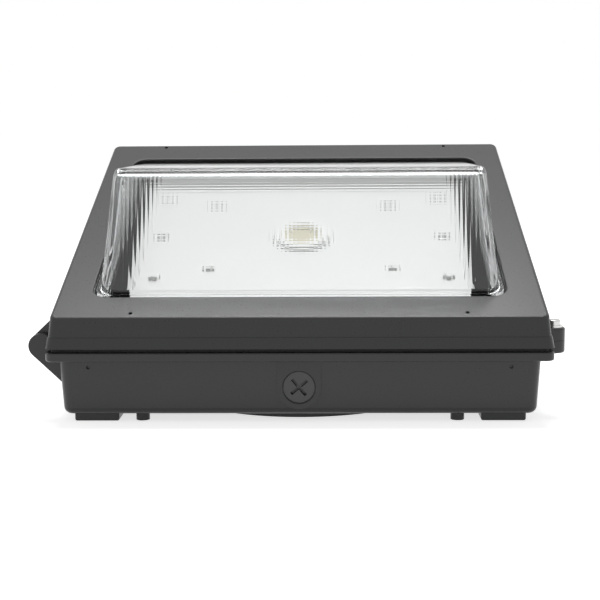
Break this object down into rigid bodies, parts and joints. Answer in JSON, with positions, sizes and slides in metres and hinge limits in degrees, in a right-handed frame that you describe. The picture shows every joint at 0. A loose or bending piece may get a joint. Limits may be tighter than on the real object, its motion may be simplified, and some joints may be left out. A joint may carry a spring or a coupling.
{
  "type": "wall pack light",
  "caption": "Outdoor wall light: cast housing with a sloping hinged door, a ribbed glass refractor, LED light engine, driver and conduit entries.",
  "frame": {"origin": "centre of the four wall screw holes, on the plane of the feet, which is the wall", "axes": "+Z out from the wall, +Y towards the deep end, which is the top when it hangs, +X towards the closure screws"},
  "size_m": [0.3629, 0.236, 0.1791],
  "materials": {
    "cast_housing": "dark grey powder coat on die-cast aluminium",
    "plug_metal": "dark grey powder coat",
    "silicone": "black silicone",
    "glass": "clear pressed borosilicate glass",
    "clip_steel": "zinc plated spring steel",
    "stainless": "stainless steel",
    "nylon": "natural nylon",
    "white_enamel": "white baked enamel",
    "sink_aluminium": "mill finish extrusion",
    "bracket_steel": "galvanised sheet",
    "pad_grey": "matt silicone pad",
    "ceramic": "white ceramic",
    "phosphor": "yellow phosphor silicone",
    "white_plastic": "moulded white polycarbonate",
    "black_plastic": "moulded nylon",
    "ground_green": "green insulation",
    "lead_black": "black insulation",
    "lead_white": "white insulation",
    "lead_red": "red insulation"
  },
  "bodies": {
    "housing": {"rear_housing": "cast_housing", "housing_gasket": "silicone", "hinge_screw_near": "stainless", "hinge_screw_far": "stainless", "plug_bottom": "plug_metal", "plug_top": "plug_metal", "plug_left": "plug_metal", "plug_right": "plug_metal", "bracket_left": "bracket_steel", "bracket_right": "bracket_steel", "bracket_screws": "stainless", "reflector_tray": "white_enamel", "tray_screws": "stainless", "heat_sink": "sink_aluminium", "heat_sink_screws": "stainless", "thermal_pad": "pad_grey", "cob_board": "ceramic", "cob_emitter": "phosphor", "cob_holder": "white_plastic", "driver_case": "sink_aluminium", "driver_cap_left": "black_plastic", "driver_cap_right": "black_plastic", "driver_screws": "stainless", "terminal_block": "black_plastic", "terminal_screws": "stainless", "ground_screw": "ground_green", "ground_lead": "ground_green", "supply_lead_line": "lead_black", "supply_lead_neutral": "lead_white", "supply_lead_earth": "ground_green", "led_lead_negative": "lead_black", "led_lead_positive": "lead_red"},
    "door": {"door_frame": "cast_housing", "glass_refractor": "glass", "lens_gasket": "silicone", "lens_clip_1": "clip_steel", "lens_clip_2": "clip_steel", "lens_clip_3": "clip_steel", "lens_clip_4": "clip_steel", "lens_clip_5": "clip_steel", "lens_clip_6": "clip_steel", "lens_clip_7": "clip_steel", "lens_clip_8": "clip_steel", "lens_clip_screws": "stainless", "screw_retainer_near": "nylon", "screw_retainer_far": "nylon"},
    "near_screw_washer": {"closure_washer_near": "stainless"},
    "near_screw": {"closure_screw_near": "stainless"},
    "far_screw_washer": {"closure_washer_far": "stainless"},
    "far_screw": {"closure_screw_far": "stainless"}
  },
  "joints": [
    {"name": "door_hinge", "type": "hinge", "parent": "housing", "child": "door", "pos_m": [-0.1745, 0, 0.05025], "axis": [0, -1, 0], "range_deg": [0, 110]},
    {"name": "near_screw_travel", "type": "slide", "parent": "door", "child": "near_screw_washer", "axis": [0, 0, 1], "range_m": [0, 0.01]},
    {"name": "near_screw_turn", "type": "hinge", "parent": "near_screw_washer", "child": "near_screw", "pos_m": [0.1725, -0.081, 0.0601], "axis": [0, 0, 1], "range_deg": [0, 4500]},
    {"name": "far_screw_travel", "type": "slide", "parent": "door", "child": "far_screw_washer", "axis": [0, 0, 1], "range_m": [0, 0.01]},
    {"name": "far_screw_turn", "type": "hinge", "parent": "far_screw_washer", "child": "far_screw", "pos_m": [0.1725, 0.081, 0.0601], "axis": [0, 0, 1], "range_deg": [0, 4500]}
  ],
  "couplings": [
    {"joint": "near_screw_turn", "follows": "near_screw_travel", "rad_per_m": 7853.9},
    {"joint": "far_screw_turn", "follows": "far_screw_travel", "rad_per_m": 7853.9}
  ]
}
